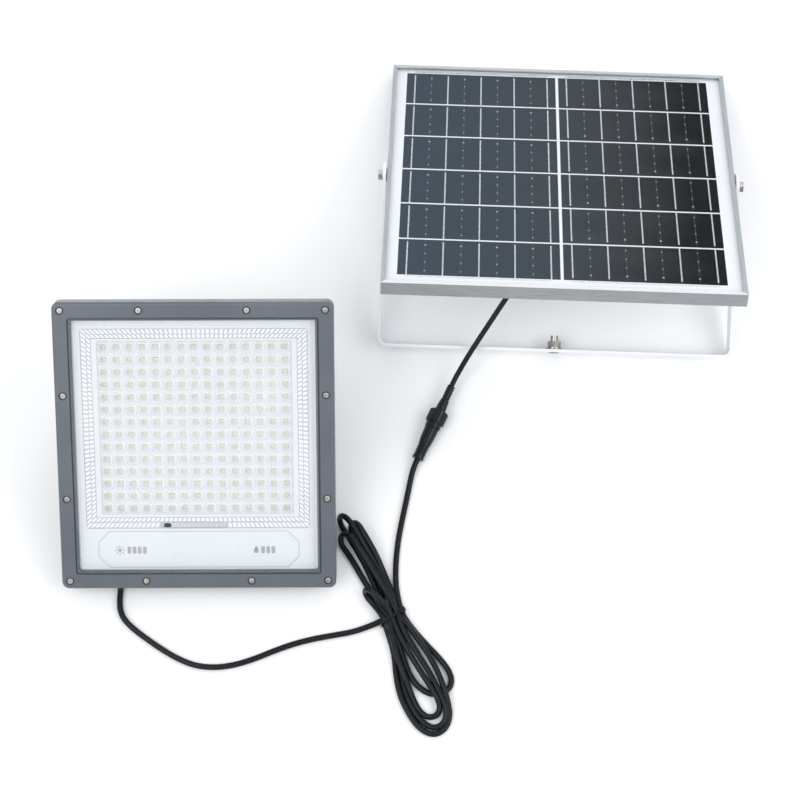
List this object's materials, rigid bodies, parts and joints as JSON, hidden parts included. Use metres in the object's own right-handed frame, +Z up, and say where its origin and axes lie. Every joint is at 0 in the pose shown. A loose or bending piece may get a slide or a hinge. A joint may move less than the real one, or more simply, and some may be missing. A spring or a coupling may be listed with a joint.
{
  "type": "solar flood light",
  "caption": "Square solar flood light on a U-bracket, with a framed solar panel on its own bracket, joined by a plug-in cord whose spare length is tied in a hank.",
  "frame": {"origin": "middle of the footprint of the light, the panel and their brackets, on the surface they rest on", "axes": "+Z up; +Y away from the user, from the light towards the panel; +X to the user's right, along the top edge of the panel"},
  "size_m": [0.6749, 0.722, 0.1803],
  "materials": {
    "bezel_paint": "satin",
    "housing_paint": "satin",
    "zinc_screw": "satin",
    "clear_glass": "gloss",
    "gasket_rubber": "matte",
    "lens_plastic": "gloss",
    "board_white": "satin",
    "led_phosphor": "matte",
    "bare_aluminium": "satin",
    "board_green": "satin",
    "dark_plastic": "satin",
    "battery_sleeve": "satin",
    "bracket_paint": "satin",
    "anodised_frame": "satin",
    "panel_cell": "gloss",
    "ribbon_metal": "satin",
    "white_sheet": "satin",
    "cord_jacket": "satin"
  },
  "bodies": {
    "kit": {"front_bezel": "bezel_paint", "bezel_screws": "zinc_screw", "front_glass": "clear_glass", "front_gasket": "gasket_rubber", "lens_plate": "lens_plastic", "led_board": "board_white", "led_chips": "led_phosphor", "heat_spreader": "bare_aluminium", "indicator_board": "board_green", "indicator_leds": "led_phosphor", "ir_receiver": "dark_plastic", "battery_cells": "battery_sleeve", "battery_holder": "dark_plastic", "controller_board": "board_green", "controller_parts": "dark_plastic", "rear_housing": "housing_paint", "breather_vent": "dark_plastic", "light_gland": "dark_plastic", "light_gland_nut": "dark_plastic", "frame_top_rail": "anodised_frame", "frame_left_rail": "anodised_frame", "frame_bottom_rail": "anodised_frame", "frame_right_rail": "anodised_frame", "frame_corner_keys": "bare_aluminium", "panel_glass": "clear_glass", "solar_cells": "panel_cell", "cell_ribbons": "ribbon_metal", "panel_backsheet": "white_sheet", "junction_box": "dark_plastic", "junction_box_lid": "dark_plastic", "junction_box_lid_screws": "zinc_screw", "junction_box_diode": "dark_plastic", "junction_box_gland": "dark_plastic", "pivot_nut_plates": "zinc_screw", "plug_body": "dark_plastic", "seal_ring": "gasket_rubber", "socket_body": "dark_plastic", "cable_hank": "cord_jacket", "cable_tie": "dark_plastic", "panel_cable": "cord_jacket", "socket_cable": "cord_jacket", "lamp_cable": "cord_jacket"},
    "light_bracket": {"light_bracket": "bracket_paint", "light_pivot_bolts": "zinc_screw", "light_pivot_washers": "zinc_screw"},
    "panel_bracket": {"panel_bracket": "bracket_paint", "panel_pivot_spacers": "dark_plastic", "panel_pivot_washers": "zinc_screw", "panel_pivot_bolts": "zinc_screw", "centre_bolt": "zinc_screw", "centre_nut": "zinc_screw", "centre_washers": "zinc_screw"},
    "coupling_nut": {"coupling_nut": "dark_plastic"}
  },
  "joints": [
    {"name": "light_bracket_tilt", "type": "hinge", "parent": "kit", "child": "light_bracket", "pos_m": [-0.20526, -0.15391, 0.07878], "axis": [1, 0.0035, 0], "range_deg": [-100, 62]},
    {"name": "panel_bracket_tilt", "type": "hinge", "parent": "kit", "child": "panel_bracket", "pos_m": [0.15204, 0.1228, 0.07976], "axis": [0.9993, -0.0375, 0], "range_deg": [0, 122]},
    {"name": "coupling_nut_turn", "type": "hinge", "parent": "kit", "child": "coupling_nut", "pos_m": [0.02339, -0.11442, 0.0102], "axis": [-0.4161, -0.905, -0.0886], "continuous": true}
  ]
}
